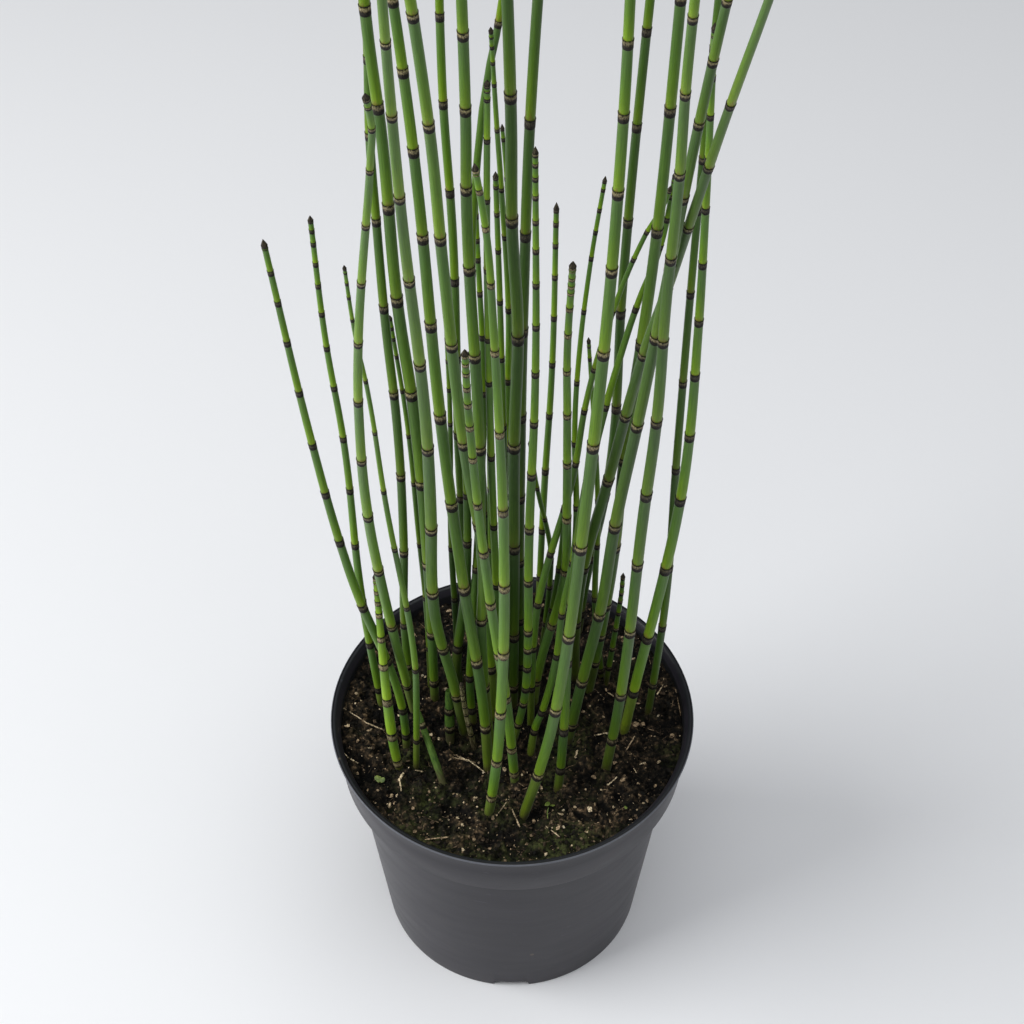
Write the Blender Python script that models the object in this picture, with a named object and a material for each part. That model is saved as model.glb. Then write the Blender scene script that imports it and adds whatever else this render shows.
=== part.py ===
"""A horsetail plant in a round nursery pot: the pot, the soil in it and every stem as a solid of its own.

Sizes in this file are millimetres and MM turns them into metres. +Z is up, the pot's axis is Z, and
the origin is the middle of the foot that the pot stands on.
"""

import math

import bmesh
import bpy
from mathutils import Vector

MM = 0.001
GAP = 0.3

# Pot: a thin moulded wall with a wider band and a thin lip at the top
POT_HEIGHT = 156.5
LIP_RADIUS = 95.0
LIP_THICKNESS = 1.3
LIP_INNER_RADIUS = 92.6
LIP_CHAMFER = 4.0
BAND_TOP_RADIUS = 92.0
BAND_FOOT_RADIUS = 90.5
BAND_HEIGHT = 29.0
STEP_HEIGHT = 1.5
WALL_TOP_RADIUS = 84.2
FOOT_RADIUS = 70.5
WALL = 1.8
FLOOR = 2.2
LIP_EDGE = 0.3
SHOULDER_RISE = 2.0
FOOT_CHAMFER = 1.2
SEGMENTS = 48

# Underside: a pad that stands on the ground, a raised channel with drain holes, a notched foot ring
PAD_RADIUS = 38.0
PAD_SLOPE = 2.0
CHANNEL_HEIGHT = 5.0
FOOT_RING_WIDTH = 2.0
NOTCHES = 4
NOTCH_WIDTH = 24.0
NOTCH_HEIGHT = 4.7
NOTCH_SLOPE = 3.0
NOTCH_TURN = -0.5
DRAIN_HOLES = 6
DRAIN_RADIUS = 4.0
DRAIN_CIRCLE = 53.0

# Soil: fills the pot to a little under the lip
SOIL_LEVEL = 148.5
SOIL_RINGS = (72.0, 48.0, 24.0)
SOIL_SWELL = 0.9
SOIL_CLEARANCE = 0.15
SOIL_TOP_INSET = 0.4
SOCKET_REACH = 17.6
SOCKET_UNDER = 1.2
SOCKET_AROUND = 1.1

# Stems
STEM_SIDES = 8
TIP_LENGTH = 6.0
TIP_SHOULDER = 1.5
TIP_BLUNTNESS = 0.45
THIRD = 0.35

# Each stem: its radius at the soil, a third of the way up and under the tip, then the points that it
# passes through from the soil up, as x, y and height
TALL_STEMS = [
    (2.1, 2.15, 1.6, [(-53, 20, 140), (-55.5, 21.5, 200), (-53.5, 20.5, 270), (-53.5, 19.5, 348),
                      (-56.5, 20.5, 417), (-58, 24, 468), (-59, 27.5, 511), (-58, 29.5, 551),
                      (-57.5, 30, 577), (-53.5, 31, 690)]),
    (2.4, 2.75, 2.0, [(-41, 15.5, 140), (-42, 17.5, 258), (-45.5, 19, 360), (-50.5, 20, 426),
                      (-53.5, 21, 516), (-57, 21.5, 570), (-62, 22.5, 735)]),
    (2.6, 2.7, 1.4, [(-24.5, -5.5, 140), (-29.5, -14, 198), (-36.5, -24, 258), (-37.5, -28, 282),
                     (-36, -45, 360), (-35.5, -65, 438), (-38.5, -111.5, 588), (-38, -173, 750)]),
    (2.6, 2.7, 1.7, [(-12, -30, 140), (-14.5, -28, 198), (-23, -25, 288), (-31, -22, 390),
                     (-39.5, -17, 552), (-56, -11, 728)]),
    (2.35, 2.55, 1.8, [(-11, -17, 140), (-15, -21, 246), (-14, -26, 312), (-20.5, -33, 384),
                       (-27, -51, 510), (-30, -65, 588), (-43, -102.5, 760)]),
    (2.1, 2.05, 1.7, [(-18, 23.5, 140), (-22, 28.5, 210), (-26, 39, 318), (-26, 45, 366),
                      (-26.5, 54, 432), (-30, 67.5, 516), (-28, 101.5, 705)]),
    (2.6, 2.6, 1.85, [(-9, 1, 140), (-12, 4.5, 216), (-15, 5.5, 282), (-15, 3.5, 354),
                      (-18.5, -8, 498), (-18, -16, 558), (-20.5, -46.5, 742)]),
    (2.15, 1.85, 1.35, [(-7, 31, 140), (-11, 27.5, 210), (-13.5, 25.5, 282), (-17.5, 27, 414),
                        (-17.5, 29, 450), (-15.5, 31, 486), (-10.5, 34.5, 534),
                        (-6, 36.5, 558), (10, 49, 690)]),
    (2.55, 2.8, 2.0, [(0.5, 11.5, 140), (1, 15, 246), (1, 13.5, 348), (2.5, 10, 420),
                      (0, 4.5, 480), (-0.5, -2.5, 546), (-6.5, -33.5, 756)]),
    (2.1, 2.45, 2.0, [(5.5, 15.5, 140), (4, 19, 204), (4, 24, 330), (5, 25, 420),
                      (8, 24, 540), (18.5, 18, 722)]),
    (2.55, 2.75, 1.55, [(4.5, -58, 140), (15, -61, 198), (20.5, -63.5, 240), (32.5, -73, 420),
                        (38.5, -82, 588), (38.5, -91, 748)]),
    (2.5, 2.3, 1.85, [(35.5, 63.5, 140), (38.5, 67.5, 174), (50.5, 78.5, 264), (53, 91.5, 372),
                      (59, 107.5, 504), (73, 133, 715)]),
    (2.4, 2.55, 1.9, [(40, 21, 140), (45.5, 14.5, 204), (50, 8, 276), (51.5, 2.5, 342),
                      (59, -7, 480), (61.5, -12, 570), (64, -19, 738)]),
    (2.55, 2.55, 1.45, [(48, -29.5, 140), (54, -32, 216), (58, -46, 360), (60, -57, 432),
                        (59, -73, 510), (59, -90, 582), (57.5, -107, 642),
                        (57.5, -140, 752)]),
    (2.75, 2.7, 1.5, [(28.5, -10.5, 140), (35.5, -15, 204), (42.5, -20.5, 264), (47, -29, 336),
                      (54, -42.5, 420), (61, -64.5, 528), (62.5, -72, 558), (66.5, -89, 624),
                      (72.5, -115, 712)]),
    (2.65, 2.55, 1.3, [(33.5, 30.5, 140), (33, 23.5, 204), (35.5, 16.5, 252), (45, 0, 336),
                       (56, -32, 450), (60.5, -44.5, 486), (67, -70, 552),
                      (73, -102, 624), (78, -135.5, 690), (81, -158, 735)]),
    (2.0, 1.9, 1.35, [(71.5, 6.5, 140), (76.5, 6.5, 240), (76.5, 8, 340), (78, 14, 504),
                      (81.5, 23, 668)]),
]
TIPPED_STEMS = [
    (2.1, 2.25, 1.25, [(-55, -15.5, 140), (-55.5, -15, 168), (-57, -14.5, 186), (-61, -14, 210),
                       (-74, -13, 264), (-80.5, -12.5, 300), (-90, -12, 372), (-102, -12, 490)]),
    (2.1, 1.95, 1.15, [(-68.5, 11, 140), (-76, 16, 234), (-79, 20.5, 336), (-84, 23.5, 402),
                       (-86.5, 27, 470)]),
    (1.7, 1.55, 0.75, [(-50, -28, 140), (-48, -29.5, 198), (-47.5, -31.5, 240), (-56.5, -37, 360),
                       (-60.5, -42, 432), (-64, -44.5, 468), (-66, -47.5, 507)]),
    (2.3, 2.4, 1.15, [(-51.5, 10.5, 140), (-55.5, -4.5, 198), (-61.5, -31.5, 300),
                      (-63.5, -52, 372), (-62, -73, 444), (-58.5, -91.5, 504), (-46.5, -130, 624),
                      (-45, -136, 642), (-46, -142, 660)]),
    (1.6, 1.4, 0.95, [(-43.5, 23, 140), (-44, 25, 210), (-46.5, 28.5, 264), (-50, 35.5, 336),
                      (-56, 43, 398)]),
    (2.35, 2.5, 1.45, [(2, -38.5, 140), (-3, -42, 222), (-10.5, -46.5, 306), (-18, -56.5, 432),
                       (-19, -60.5, 474)]),
    (2.2, 1.8, 1.15, [(-20, -0.5, 140), (-22, 5.5, 174), (-21, 10.5, 198), (-17.5, 24, 258),
                      (-14, 40.5, 318), (-13.5, 49.5, 348), (-16, 72, 414), (-17, 82, 441)]),
    (2.5, 2.65, 1.2, [(-12.5, -57, 140), (-8, -61, 192), (-6, -63, 228), (-3.5, -70, 342),
                      (-7.5, -79.5, 510), (-9.5, -82, 552), (-13.5, -83.5, 586)]),
    (2.1, 1.8, 1.25, [(-6, 12.5, 140), (-7.5, 12, 220), (-10, 5, 366), (-10.5, -5, 468),
                      (-9.5, -19.5, 575)]),
    (2.15, 1.95, 0.9, [(0, 24.5, 140), (-0.5, 27.5, 190), (0.5, 32, 264), (-2, 38, 344),
                      (-1.5, 40, 401), (-5, 35, 485), (-6.5, 30, 518), (-8.5, 23, 569)]),
    (1.9, 1.7, 0.9, [(3, 34, 140), (2.5, 38, 222), (0.5, 52, 360), (-2.5, 68, 456), (-4.5, 73.5, 483)]),
    (1.9, 1.75, 1.15, [(-2.5, 19, 140), (-3, 22.5, 234), (-5, 24.5, 400), (-7, 23, 497)]),
    (1.9, 2.3, 1.15, [(-1, -13, 140), (5.5, -13.5, 180), (7, -14, 198), (8, -15.5, 318),
                      (10, -16.5, 414), (9, -19, 543)]),
    (1.7, 1.85, 1.3, [(14, 73, 140), (17, 87, 240), (20, 97, 312), (21, 110, 409)]),
    (2.25, 2.3, 1.4, [(11, 13, 140), (14, 11, 180), (24.5, 6.5, 246), (26, 5, 264), (25.8, 0, 312),
                      (24.5, -9.5, 384), (23.5, -17.5, 432), (24.5, -29, 493)]),
    (2.05, 1.6, 0.95, [(9, -21, 140), (12, -18, 168), (15.5, -16.5, 180), (22, -11.5, 216),
                       (24.5, -7, 246), (29.9, -1, 288), (30.4, 6, 312), (29, 14.5, 348),
                       (30, 23.5, 384), (34.5, 37.5, 432), (40.5, 50, 473)]),
    (1.9, 1.6, 0.9, [(48.5, 29.5, 140), (43, 35.5, 204), (43, 43.5, 264), (36, 60.5, 368)]),
    (1.9, 1.85, 0.95, [(9.5, -3, 140), (11.5, 1, 228), (14, 2, 252), (28.5, 6, 330), (33.5, 7, 378),
                       (41, 7.5, 420), (55.5, 8, 474), (63, 8, 492), (65.5, 8, 502)]),
    (2.35, 2.2, 1.1, [(23, -43.5, 140), (25, -39, 168), (28.5, -23.5, 276), (33.5, -13.5, 342),
                      (38.5, -9, 372), (47, -2.5, 414), (54.5, 2.5, 444), (62, 6.5, 468),
                      (67.5, 12.5, 506)]),
    (2.6, 2.55, 1.15, [(58, -5.5, 140), (62.5, -7.5, 186), (73, -11.5, 282), (76.5, -14, 324),
                      (78.5, -16.5, 366), (78, -22.5, 450), (76.5, -27.5, 510), (73, -37, 613)]),
]
INNER_STEMS = [
    (2.55, 2.55, 1.2, [(-31, 13, 140), (-28.5, 16, 186), (-24, 19.5, 228), (-22, 23.5, 276),
                       (-24, 30.5, 356)]),
    (1.85, 1.6, 0.95, [(-28, 23.5, 140), (-29, 24.5, 198), (-30.5, 29, 264), (-29.5, 37, 336),
                       (-30.5, 46, 393)]),
    (1.6, 1.5, 1.0, [(14.5, 37, 140), (20, 45, 228), (19, 46, 240), (12.5, 49, 276),
                     (8.5, 51.5, 308)]),
    (1.9, 1.75, 1.0, [(14.5, 32, 140), (17, 34, 168), (23.5, 37.5, 222), (26.5, 40.5, 282),
                      (26.5, 42.5, 317)]),
    (1.85, 1.8, 1.0, [(-5, 23.5, 140), (-8, 22.5, 174), (-9.5, 21.5, 210), (-11, 19.5, 354)]),
]
SHOOTS = {
    "pale_shoot": (2.2, 2.75, 1.3, [(-57.5, -29, 140), (-60, -27.5, 156), (-62, -25, 180),
                                    (-65.5, -12.5, 283)]),
    "small_shoot": (1.45, 1.55, 1.1, [(49.5, 25.5, 140), (52, 27.5, 168), (56, 30.5, 216),
                                      (56.5, 31.5, 232)]),
    "dried_shoot": (1.55, 1.35, 1.05, [(-19, -15.5, 140), (-25, -17.5, 192), (-25.5, -18.5, 206)]),
}
STUBS = {
    "leaning_stub": (1.7, 1.9, 1.65, [(-33, -43.5, 140), (-38.5, -34.5, 156), (-48.5, -18.5, 182)]),
    "swollen_stub": (2.1, 2.6, 1.8, [(-32.5, -12.5, 140), (-32.5, -10, 162), (-32.5, -7.5, 185)]),
}


def surface(name, colour, roughness):
    """A plain finish with one colour and one roughness."""
    material = bpy.data.materials.new(name)
    material.use_nodes = True
    shader = material.node_tree.nodes["Principled BSDF"]
    shader.inputs["Base Color"].default_value = (*colour, 1.0)
    shader.inputs["Roughness"].default_value = roughness
    shader.inputs["Metallic"].default_value = 0.0
    return material


def add_object(name, bm, material=None):
    """A scene object from a bmesh whose sizes are in millimetres."""
    bmesh.ops.scale(bm, vec=(MM, MM, MM), verts=bm.verts)
    mesh = bpy.data.meshes.new(name)
    bm.to_mesh(mesh)
    bm.free()
    if material:
        mesh.materials.append(material)
    solid = bpy.data.objects.new(name, mesh)
    bpy.context.scene.collection.objects.link(solid)
    return solid


def hide_as_cutter(solid):
    solid.hide_render = True
    solid.display_type = "WIRE"


def cut(target, cutter):
    """Takes the cutter's shape out of the target."""
    boolean = target.modifiers.new(cutter.name, "BOOLEAN")
    boolean.operation = "DIFFERENCE"
    boolean.solver = "EXACT"
    boolean.object = cutter


def turn(solid, segments):
    """Spins a profile that runs from the axis, up the inside and down the outside, to the axis again."""
    screw = solid.modifiers.new("turned", "SCREW")
    screw.axis = "Z"
    screw.steps = segments
    screw.render_steps = segments
    screw.use_merge_vertices = True
    screw.merge_threshold = 0.00001


def profile_bmesh(points):
    bm = bmesh.new()
    verts = [bm.verts.new((radius, 0.0, height)) for radius, height in points]
    for lower, upper in zip(verts, verts[1:]):
        bm.edges.new((lower, upper))
    return bm


def outer_wall_radius(height):
    """Radius of the straight wall's outside between the foot and the step."""
    step_foot = POT_HEIGHT - BAND_HEIGHT - STEP_HEIGHT
    return FOOT_RADIUS + (WALL_TOP_RADIUS - FOOT_RADIUS) * height / step_foot


def inner_profile():
    """The inside of the pot from the middle of the floor to the lip, as radius and height."""
    floor_top = CHANNEL_HEIGHT + FLOOR
    step_foot = POT_HEIGHT - BAND_HEIGHT - STEP_HEIGHT
    band_slope = (BAND_TOP_RADIUS - BAND_FOOT_RADIUS) / BAND_HEIGHT
    chamfer_foot = POT_HEIGHT - LIP_CHAMFER
    return [
        (0.0, FLOOR),
        (PAD_RADIUS - PAD_SLOPE, FLOOR),
        (PAD_RADIUS + PAD_SLOPE / 4, floor_top),
        (outer_wall_radius(floor_top) - WALL, floor_top),
        (WALL_TOP_RADIUS - WALL, step_foot + SHOULDER_RISE),
        (BAND_FOOT_RADIUS - WALL, step_foot + SHOULDER_RISE + STEP_HEIGHT),
        (BAND_TOP_RADIUS - band_slope * LIP_CHAMFER - WALL, chamfer_foot),
        (LIP_INNER_RADIUS, POT_HEIGHT),
    ]


def outer_profile():
    """The outside of the pot from the lip down to the foot ring and in along the underside."""
    step_top = POT_HEIGHT - BAND_HEIGHT
    ring_inner = FOOT_RADIUS - FOOT_RING_WIDTH
    return [
        (LIP_RADIUS - LIP_EDGE, POT_HEIGHT),
        (LIP_RADIUS, POT_HEIGHT - LIP_EDGE),
        (LIP_RADIUS, POT_HEIGHT - LIP_THICKNESS),
        (BAND_TOP_RADIUS, POT_HEIGHT - LIP_THICKNESS - LIP_EDGE),
        (BAND_FOOT_RADIUS, step_top),
        (WALL_TOP_RADIUS, step_top - STEP_HEIGHT),
        (outer_wall_radius(FOOT_CHAMFER), FOOT_CHAMFER),
        (FOOT_RADIUS - FOOT_CHAMFER / 2, 0.0),
        (ring_inner, 0.0),
        (ring_inner, CHANNEL_HEIGHT),
        (PAD_RADIUS, CHANNEL_HEIGHT),
        (PAD_RADIUS - PAD_SLOPE, 0.0),
        (0.0, 0.0),
    ]


def notch_cutter(index):
    """A radial block with sloping ends that opens the foot ring."""
    inner, outer = FOOT_RADIUS - 3 * FOOT_RING_WIDTH, FOOT_RADIUS + 3 * FOOT_RING_WIDTH
    half = NOTCH_WIDTH / 2
    section = [(-half, -1.0), (half, -1.0), (half - NOTCH_SLOPE, NOTCH_HEIGHT),
               (NOTCH_SLOPE - half, NOTCH_HEIGHT)]
    bm = bmesh.new()
    face = bm.faces.new([bm.verts.new((across, -inner, height)) for across, height in section])
    pushed = bmesh.ops.extrude_face_region(bm, geom=[face])["geom"]
    moved = [item for item in pushed if isinstance(item, bmesh.types.BMVert)]
    bmesh.ops.translate(bm, vec=(0.0, inner - outer, 0.0), verts=moved)
    bmesh.ops.recalc_face_normals(bm, faces=bm.faces)
    cutter = add_object(f"cutter_notch_{index}", bm)
    cutter.rotation_euler.z = math.radians(NOTCH_TURN + 360 * index / NOTCHES)
    hide_as_cutter(cutter)
    return cutter


def drain_cutter(index):
    """A round plug through the raised channel of the floor."""
    angle = 2 * math.pi * (index + 0.5) / DRAIN_HOLES
    bm = bmesh.new()
    bmesh.ops.create_cone(bm, cap_ends=True, segments=12, radius1=DRAIN_RADIUS,
                          radius2=DRAIN_RADIUS, depth=6 * FLOOR)
    bmesh.ops.translate(bm, verts=bm.verts, vec=(DRAIN_CIRCLE * math.cos(angle),
                                                 DRAIN_CIRCLE * math.sin(angle), CHANNEL_HEIGHT))
    cutter = add_object(f"cutter_drain_{index}", bm)
    hide_as_cutter(cutter)
    return cutter


def make_pot():
    pot = add_object("pot", profile_bmesh(inner_profile() + outer_profile()),
                     surface("pot_plastic", (0.062, 0.064, 0.070), 0.5))
    turn(pot, SEGMENTS)
    for index in range(NOTCHES):
        cut(pot, notch_cutter(index))
    for index in range(DRAIN_HOLES):
        cut(pot, drain_cutter(index))
    return pot


def soil_height(x, y):
    """Height of the soil's gently uneven surface."""
    waves = math.sin(0.071 * x + 0.6) * math.cos(0.083 * y - 0.4) + 0.5 * math.sin(0.15 * x - 0.11 * y)
    return SOIL_LEVEL + SOIL_SWELL * waves / 1.5


def soil_ring(bm, radius, height=None):
    """One ring of vertices, at a given height or lying in the uneven surface."""
    ring = []
    for step in range(SEGMENTS):
        angle = 2 * math.pi * step / SEGMENTS
        x, y = radius * math.cos(angle), radius * math.sin(angle)
        ring.append(bm.verts.new((x, y, soil_height(x, y) if height is None else height)))
    return ring


def bridge(bm, lower, upper):
    """Faces between two rings of the same number of vertices."""
    count = len(lower)
    for step in range(count):
        following = (step + 1) % count
        bm.faces.new((lower[step], lower[following], upper[following], upper[step]))


def make_soil():
    """The root ball: it follows the inside of the pot with a gap and ends in the uneven surface."""
    clear = GAP + SOIL_CLEARANCE
    band_radius = BAND_TOP_RADIUS - WALL - SOIL_TOP_INSET - clear
    bm = bmesh.new()
    rings = []
    for radius, height in inner_profile()[1:6]:
        rings.append(soil_ring(bm, radius - clear, height + GAP))
    rings.append(soil_ring(bm, band_radius))
    rings += [soil_ring(bm, radius) for radius in SOIL_RINGS]
    for lower, upper in zip(rings, rings[1:]):
        bridge(bm, lower, upper)
    bm.faces.new(list(reversed(rings[0])))
    bm.faces.new(rings[-1])
    bmesh.ops.triangulate(bm, faces=[face for face in bm.faces if len(face.verts) == 4])
    return add_object("soil", bm, surface("potting_soil", (0.052, 0.040, 0.030), 0.95))


def stem_radius(radii, share):
    """Radius at a share of the stem's height, between its foot, third and tip radii."""
    foot, third, tip = radii
    if share < THIRD:
        return foot + (third - foot) * share / THIRD
    return third + (tip - third) * (share - THIRD) / (1 - THIRD)


def stem_rings(radii, points):
    """Centres and radii of a stem's rings from the foot up; the point of the tip has radius 0."""
    centres = [Vector(point) for point in points]
    low, high = centres[0].z, centres[-1].z
    along = (centres[-1] - centres[-2]).normalized()
    tip = centres.pop()
    centres += [tip - along * TIP_LENGTH, tip - along * TIP_SHOULDER]
    rings = [(centre, stem_radius(radii, (centre.z - low) / (high - low))) for centre in centres]
    rings[-1] = (centres[-1], radii[2] * TIP_BLUNTNESS)
    return rings + [(tip, 0.0)]


def stub_rings(radii, points):
    """Centres and radii of a broken stub, whose top is flat."""
    return [(Vector(point), radius) for point, radius in zip(points, radii)]


def tube_bmesh(rings):
    """A closed tube through the rings; a ring of radius 0 closes it in a point."""
    bm = bmesh.new()
    loops = []
    for index, (centre, radius) in enumerate(rings):
        before, after = rings[max(index - 1, 0)][0], rings[min(index + 1, len(rings) - 1)][0]
        along = (after - before).normalized()
        side = Vector((1.0, 0.0, 0.0))
        side = (side - along * side.dot(along)).normalized()
        front = along.cross(side)
        if radius == 0.0:
            point = bm.verts.new(centre)
            loop = loops[-1]
            for step in range(STEM_SIDES):
                bm.faces.new((loop[step], loop[(step + 1) % STEM_SIDES], point))
            break
        loop = []
        for step in range(STEM_SIDES):
            angle = 2 * math.pi * step / STEM_SIDES
            loop.append(bm.verts.new(centre + (side * math.cos(angle) + front * math.sin(angle)) * radius))
        if loops:
            bridge(bm, loops[-1], loop)
        loops.append(loop)
    bm.faces.new(list(reversed(loops[0])))
    if rings[-1][1] > 0.0:
        bm.faces.new(loops[-1])
    return bm


def socket_cutter(name, rings):
    """The hole that a stem's buried foot leaves in the soil, a little wider and deeper than the foot."""
    foot, above = rings[0], rings[1]
    rise = (above[0] - foot[0]) / (above[0].z - foot[0].z)
    low = (foot[0] - rise * GAP * SOCKET_UNDER, foot[1] + GAP * SOCKET_AROUND)
    high = (foot[0] + rise * min(SOCKET_REACH, above[0].z - foot[0].z),
            max(foot[1], above[1]) + GAP * SOCKET_AROUND)
    cutter = add_object(f"cutter_{name}", tube_bmesh([low, high]))
    hide_as_cutter(cutter)
    return cutter


def plant(name, rings, material, soil):
    """One stem as a solid, and its socket in the soil."""
    stem = add_object(name, tube_bmesh(rings), material)
    stem.data.shade_smooth()
    stem.data.set_sharp_from_angle(angle=math.radians(50))
    cut(soil, socket_cutter(name, rings))


def make_plant(soil):
    green = surface("green_stem", (0.085, 0.170, 0.045), 0.45)
    inner_green = surface("inner_green_stem", (0.060, 0.125, 0.035), 0.5)
    pale_green = surface("pale_green_shoot", (0.200, 0.330, 0.080), 0.45)
    dried = surface("dried_stem", (0.260, 0.210, 0.120), 0.7)
    for number, (*radii, points) in enumerate(TALL_STEMS, 1):
        plant(f"tall_stem_{number:02d}", stem_rings(radii, points), green, soil)
    for number, (*radii, points) in enumerate(TIPPED_STEMS, 1):
        plant(f"tipped_stem_{number:02d}", stem_rings(radii, points), green, soil)
    for number, (*radii, points) in enumerate(INNER_STEMS, 1):
        plant(f"inner_stem_{number:02d}", stem_rings(radii, points), inner_green, soil)
    finishes = {"pale_shoot": pale_green, "small_shoot": green, "dried_shoot": dried}
    for name, (*radii, points) in SHOOTS.items():
        plant(name, stem_rings(radii, points), finishes[name], soil)
    for name, (*radii, points) in STUBS.items():
        plant(name, stub_rings(radii, points), dried, soil)


def clear_scene():
    for item in list(bpy.data.objects):
        bpy.data.objects.remove(item)


def main():
    clear_scene()
    make_pot()
    soil = make_soil()
    make_plant(soil)


main()
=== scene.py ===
"""A potted horsetail: the finish of the pot, the soil and every stem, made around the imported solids."""

import math
import random

import bmesh
import bpy
import numpy as np
from mathutils import Matrix, Vector, geometry


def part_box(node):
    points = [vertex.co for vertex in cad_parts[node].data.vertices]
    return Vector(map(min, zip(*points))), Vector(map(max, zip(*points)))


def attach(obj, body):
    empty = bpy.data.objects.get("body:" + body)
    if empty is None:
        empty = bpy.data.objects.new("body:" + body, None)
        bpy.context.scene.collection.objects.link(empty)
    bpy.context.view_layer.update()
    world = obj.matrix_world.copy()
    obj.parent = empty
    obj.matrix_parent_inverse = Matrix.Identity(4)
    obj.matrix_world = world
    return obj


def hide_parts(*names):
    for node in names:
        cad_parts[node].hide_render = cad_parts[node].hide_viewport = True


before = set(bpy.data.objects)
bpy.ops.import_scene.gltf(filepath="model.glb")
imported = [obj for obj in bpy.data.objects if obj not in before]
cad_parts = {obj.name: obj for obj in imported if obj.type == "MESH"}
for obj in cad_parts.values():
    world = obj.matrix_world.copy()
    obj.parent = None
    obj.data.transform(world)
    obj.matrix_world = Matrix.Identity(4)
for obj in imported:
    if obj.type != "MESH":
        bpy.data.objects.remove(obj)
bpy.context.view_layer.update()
bpy.ops.object.select_all(action="DESELECT")
MM = 0.001


# Camera: a long lens held above the front of the pot and pointed steeply down, so that the pot's rim
# is a wide ellipse and the tall stems run out of the top of the picture.
CAMERA_PLACE = (-0.0001, -0.70217, 1.07717)
CAMERA_FROM_STRAIGHT_DOWN = 42.538
CAMERA_LENS = 77.34
bpy.ops.object.camera_add(location=CAMERA_PLACE, rotation=(math.radians(CAMERA_FROM_STRAIGHT_DOWN), 0, 0))
camera = bpy.context.object
camera.name = "camera"
camera.data.lens = CAMERA_LENS
camera.data.clip_start = 0.05
bpy.context.scene.camera = camera


# Pot: one thin moulded shell of charcoal plastic, turned round its axis, with a wider band and a thin
# lip at the top, a raised channel with drain holes underneath and a foot ring cut by four notches.
POT_SIDES = 144
POT_OUTLINE = [
    (1.0, 0.0), (36.0, 0.0), (38.0, 4.7), (38.4, 5.0), (68.2, 5.0), (68.5, 4.7), (68.5, 0.3),
    (68.8, 0.0), (69.8, 0.0), (70.4, 0.5), (70.7, 2.0), (72.2, 16.0), (75.6, 47.0), (79.0, 78.0),
    (82.3, 109.0), (83.9, 123.4), (84.1, 124.9), (84.7, 126.0), (85.8, 126.5), (89.0, 126.8),
    (90.1, 127.2), (90.5, 128.0), (91.3, 143.0), (91.9, 154.4), (92.1, 154.9), (92.6, 155.1),
    (94.5, 155.1), (94.9, 155.4), (95.0, 155.8), (94.9, 156.3), (94.5, 156.5), (93.2, 156.5),
    (92.6, 156.3), (92.1, 155.7), (90.3, 152.9), (89.9, 151.8), (88.8, 131.0), (88.2, 129.8),
    (87.0, 129.4), (83.2, 129.0), (82.4, 128.2), (76.0, 67.0), (69.5, 8.0), (68.9, 7.3),
    (67.9, 7.2), (38.8, 7.2), (38.3, 6.9), (36.3, 2.6), (35.8, 2.2), (1.0, 2.2),
]
LIP_FOOT = 154.95
LIP_INNER_FOOT = 140.0
LIP_INNER_REACH = 90.4
NOTCHES = 4
NOTCH_TURN = -0.5
NOTCH_REACH = 69.5
NOTCH_SIZE = (22.5, 12.0, 9.4)
NOTCH_NARROWING = 0.80
NOTCH_ROUNDING = 1.2
DRAINS = 6
DRAIN_SIDES = 32
DRAIN_CIRCLE = 53.0
DRAIN_RADIUS = 4.0
DRAIN_DEPTH = 20.0


def turned(name, outline, sides):
    """A closed round piece: a circle drawn out ring by ring along an outline of radius and height."""
    radius, height = outline[0]
    bpy.ops.mesh.primitive_circle_add(vertices=sides, radius=radius * MM, fill_type="NGON",
                                      location=(0, 0, height * MM))
    piece = bpy.context.object
    piece.name = name
    bpy.ops.object.transform_apply(location=True)
    bpy.ops.object.mode_set(mode="EDIT")
    bpy.ops.mesh.select_all(action="SELECT")
    bpy.ops.mesh.delete(type="ONLY_FACE")
    bpy.ops.mesh.select_all(action="SELECT")
    for next_radius, next_height in outline[1:]:
        rise = (next_height - height) * MM
        bpy.ops.mesh.extrude_region_move(TRANSFORM_OT_translate={"value": (0, 0, rise)})
        grow = next_radius / radius
        bpy.ops.transform.resize(value=(grow, grow, 1), center_override=(0, 0, next_height * MM))
        radius, height = next_radius, next_height
    bpy.ops.mesh.edge_face_add()
    bpy.ops.mesh.select_all(action="DESELECT")
    bpy.ops.mesh.select_mode(type="EDGE")
    bpy.ops.mesh.select_non_manifold()
    bpy.ops.mesh.edge_face_add()
    bpy.ops.mesh.select_all(action="SELECT")
    bpy.ops.mesh.normals_make_consistent(inside=False)
    bpy.ops.mesh.select_mode(type="VERT")
    bpy.ops.object.mode_set(mode="OBJECT")
    return piece


def cut_away(piece, cutter):
    """Takes the cutter's shape out of the piece and removes the cutter."""
    boolean = piece.modifiers.new("cut", "BOOLEAN")
    boolean.operation = "DIFFERENCE"
    boolean.object = cutter
    bpy.ops.object.select_all(action="DESELECT")
    bpy.context.view_layer.objects.active = piece
    piece.select_set(True)
    bpy.ops.object.modifier_apply(modifier=boolean.name)
    bpy.data.objects.remove(cutter)


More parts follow.
